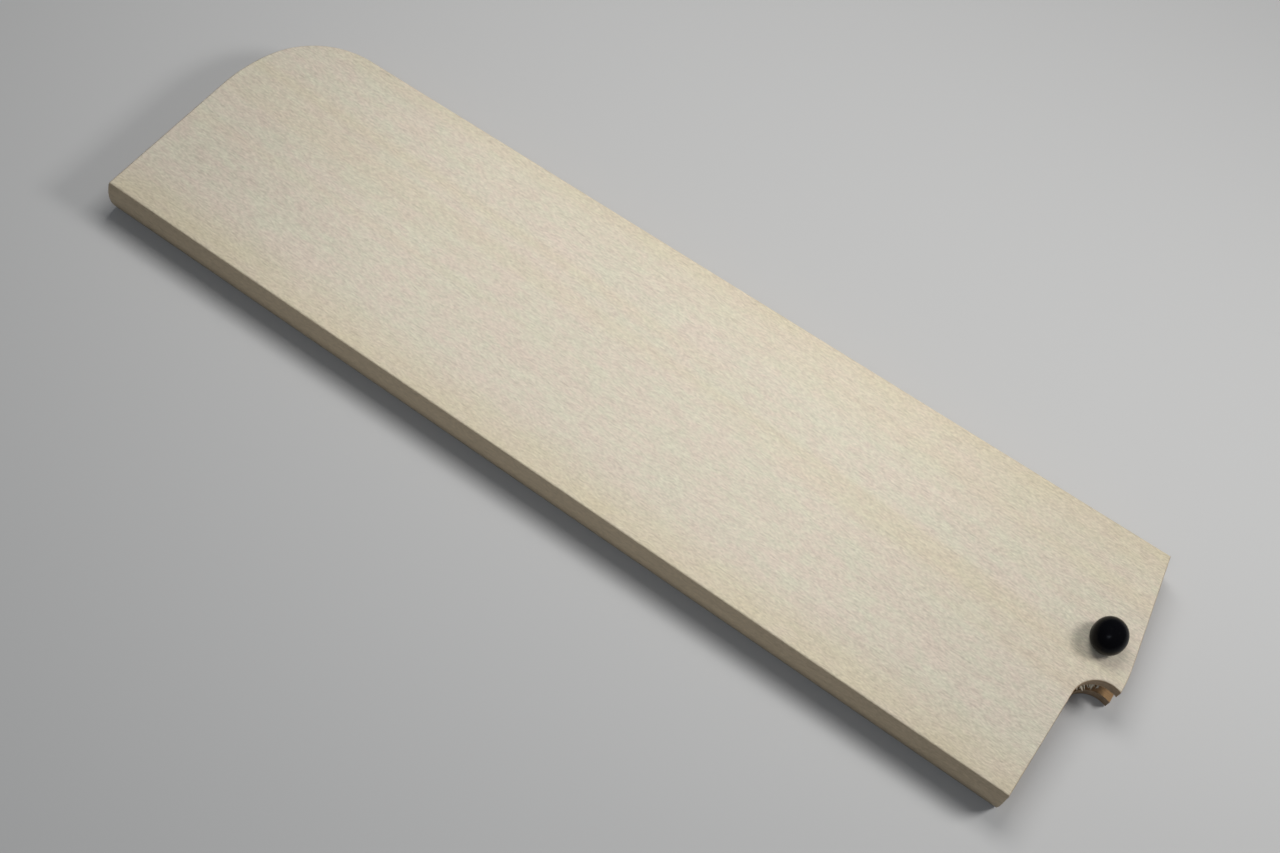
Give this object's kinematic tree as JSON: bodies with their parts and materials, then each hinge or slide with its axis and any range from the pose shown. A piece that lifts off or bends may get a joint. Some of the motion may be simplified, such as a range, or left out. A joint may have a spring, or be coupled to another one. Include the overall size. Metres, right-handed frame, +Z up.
{
  "type": "knife blade guard",
  "caption": "Wooden sheath for a rectangular kitchen knife with a rounded tip, held shut by a dark push-in pin that pulls straight out",
  "frame": {"origin": "under the middle of the sheath's bounding box, on the face that it lies on", "axes": "+X towards the open heel end, +Y towards the spine side, +Z up out of the front face and along the pin"},
  "size_m": [0.2406, 0.067, 0.0183],
  "materials": {
    "sheath_wood": "bare planed pale magnolia, matt",
    "pin_wood": "polished ebony, glossy"
  },
  "bodies": {
    "sheath": {"front_panel": "sheath_wood", "back_panel": "sheath_wood", "edge_strip": "sheath_wood", "spine_strip": "sheath_wood", "tip_block": "sheath_wood"},
    "pin": {"retaining_pin": "pin_wood"}
  },
  "joints": [
    {"name": "pin_pull", "type": "slide", "parent": "sheath", "child": "pin", "axis": [0, 0, 1], "range_m": [0, 0.02]}
  ]
}
